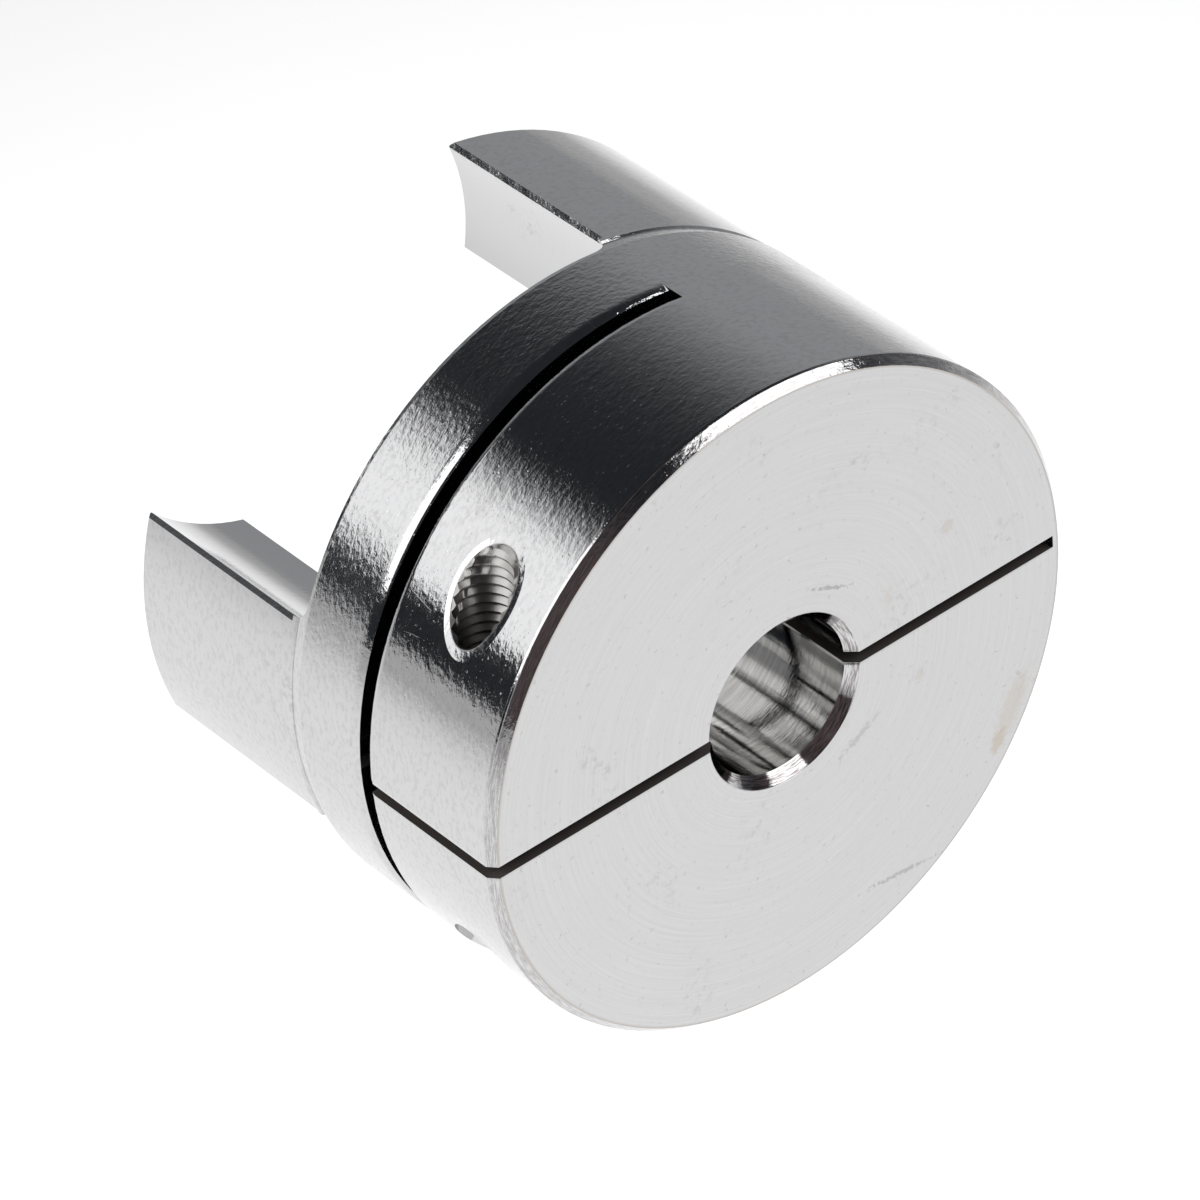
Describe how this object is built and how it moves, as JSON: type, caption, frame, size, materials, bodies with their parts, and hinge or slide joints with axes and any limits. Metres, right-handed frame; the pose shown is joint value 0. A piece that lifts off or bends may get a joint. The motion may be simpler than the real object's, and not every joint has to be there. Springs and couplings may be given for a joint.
{
  "type": "clamping jaw coupling hub",
  "caption": "Aluminium shaft hub of a curved-jaw coupling, split across its bore and closed on the shaft by one socket-head clamp screw.",
  "frame": {"origin": "centre of the shaft bore at the shaft-side end face", "axes": "+Y along the shaft axis from the shaft-side face towards the jaw tips, +Z along the clamp screw from its head towards its tip, the screw on the -X side"},
  "size_m": [0.064, 0.048, 0.064],
  "materials": {
    "hub_aluminium": "turned, milled and tumbled bright",
    "screw_steel": "bright zinc-plated steel, knurled head"
  },
  "bodies": {
    "hub": {"clamp_hub": "hub_aluminium"},
    "screw": {"clamp_screw": "screw_steel"}
  },
  "joints": [
    {"name": "clamp_screw_turn", "type": "hinge", "parent": "hub", "child": "screw", "pos_m": [-0.0241, 0.008, -0.006], "axis": [0, 0, -1], "range_deg": [0, 450]}
  ]
}
